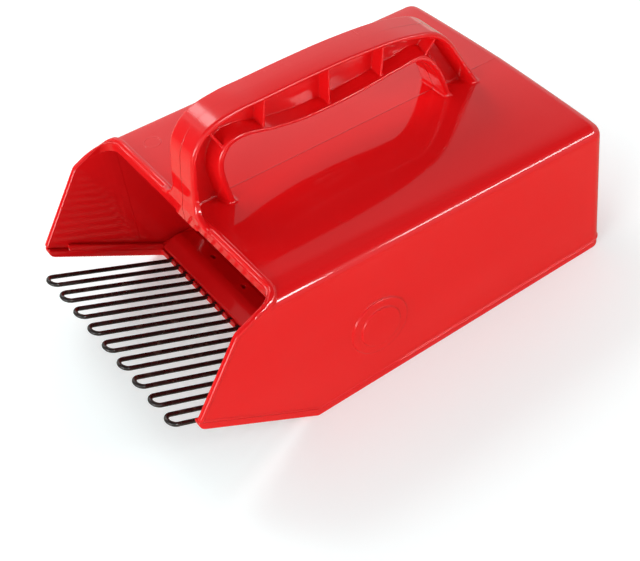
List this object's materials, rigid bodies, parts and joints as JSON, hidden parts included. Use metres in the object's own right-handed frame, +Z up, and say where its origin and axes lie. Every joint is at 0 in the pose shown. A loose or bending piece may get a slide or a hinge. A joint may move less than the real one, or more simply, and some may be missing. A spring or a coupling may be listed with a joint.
{
  "type": "berry picking rake",
  "caption": "Hand rake for berries: a box-shaped scoop with a ribbed handle on its roof and a comb of wire hairpins at its open mouth.",
  "frame": {"origin": "middle of the rake's box in plan, on the flat underside of the floor", "axes": "+Z up; the mouth and its comb face -Y; +X to the right of someone looking from the mouth towards the rear wall"},
  "size_m": [0.1432, 0.228, 0.1247],
  "materials": {
    "housing_plastic": "glossy moulded red polypropylene",
    "floor_plastic": "glossy moulded red polypropylene",
    "clamp_plastic": "glossy moulded red polypropylene",
    "tine_wire": "black coated spring wire",
    "screw_steel": "zinc plated steel"
  },
  "bodies": {
    "root": {"housing": "housing_plastic", "base_plate": "floor_plastic", "clamp_bar": "clamp_plastic", "tine_1": "tine_wire", "tine_2": "tine_wire", "tine_3": "tine_wire", "tine_4": "tine_wire", "tine_5": "tine_wire", "tine_6": "tine_wire", "tine_7": "tine_wire", "tine_8": "tine_wire", "tine_9": "tine_wire", "clamp_screw_1": "screw_steel", "clamp_screw_2": "screw_steel", "clamp_screw_3": "screw_steel", "clamp_screw_4": "screw_steel", "base_screw_1": "screw_steel", "base_screw_2": "screw_steel", "base_screw_3": "screw_steel", "base_screw_4": "screw_steel"}
  },
  "joints": []
}
